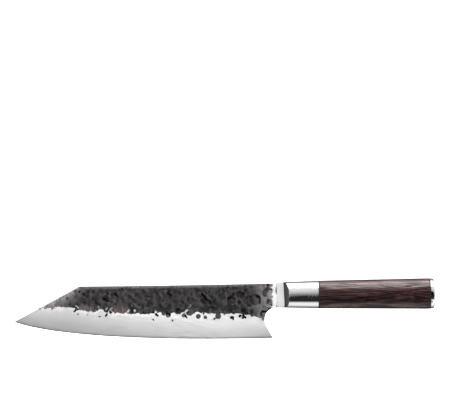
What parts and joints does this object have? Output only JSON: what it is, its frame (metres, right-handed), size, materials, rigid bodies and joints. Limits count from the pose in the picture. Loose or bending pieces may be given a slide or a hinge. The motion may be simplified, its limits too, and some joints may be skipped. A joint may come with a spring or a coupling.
{
  "type": "kiritsuke knife",
  "caption": "Kitchen knife with a clipped tip, hammered forged blade, ground bevel, flat-necked steel bolster and a round dark wooden handle with a steel end cap.",
  "frame": {"origin": "centre of the end cap's flat face, on the handle's axis", "axes": "+X out of the butt along the handle's axis, so the point lies towards -X; +Z to the spine, so the edge faces down; +Y to the right flank"},
  "size_m": [0.3367, 0.0246, 0.047],
  "materials": {
    "blade": "forge-black hammered upper flank over a satin ground bevel",
    "bolster": "polished ferrule with a satin milled neck",
    "spacer": "matt black fibre",
    "tang_sleeve": "plain slotted dowel, glued in",
    "rod_steel": "plain machined",
    "epoxy": "cured resin",
    "handle_wood": "dark red-brown hardwood, oiled to a soft gloss, grain along the handle",
    "end_cap": "polished"
  },
  "bodies": {
    "root": {"blade": "blade", "bolster": "bolster", "front_spacer": "spacer", "tang_sleeve": "tang_sleeve", "tang_rod": "rod_steel", "epoxy_bed": "epoxy", "handle": "handle_wood", "clamp_washer": "rod_steel", "tang_nut": "rod_steel", "rear_spacer": "spacer", "end_cap": "end_cap"}
  },
  "joints": []
}
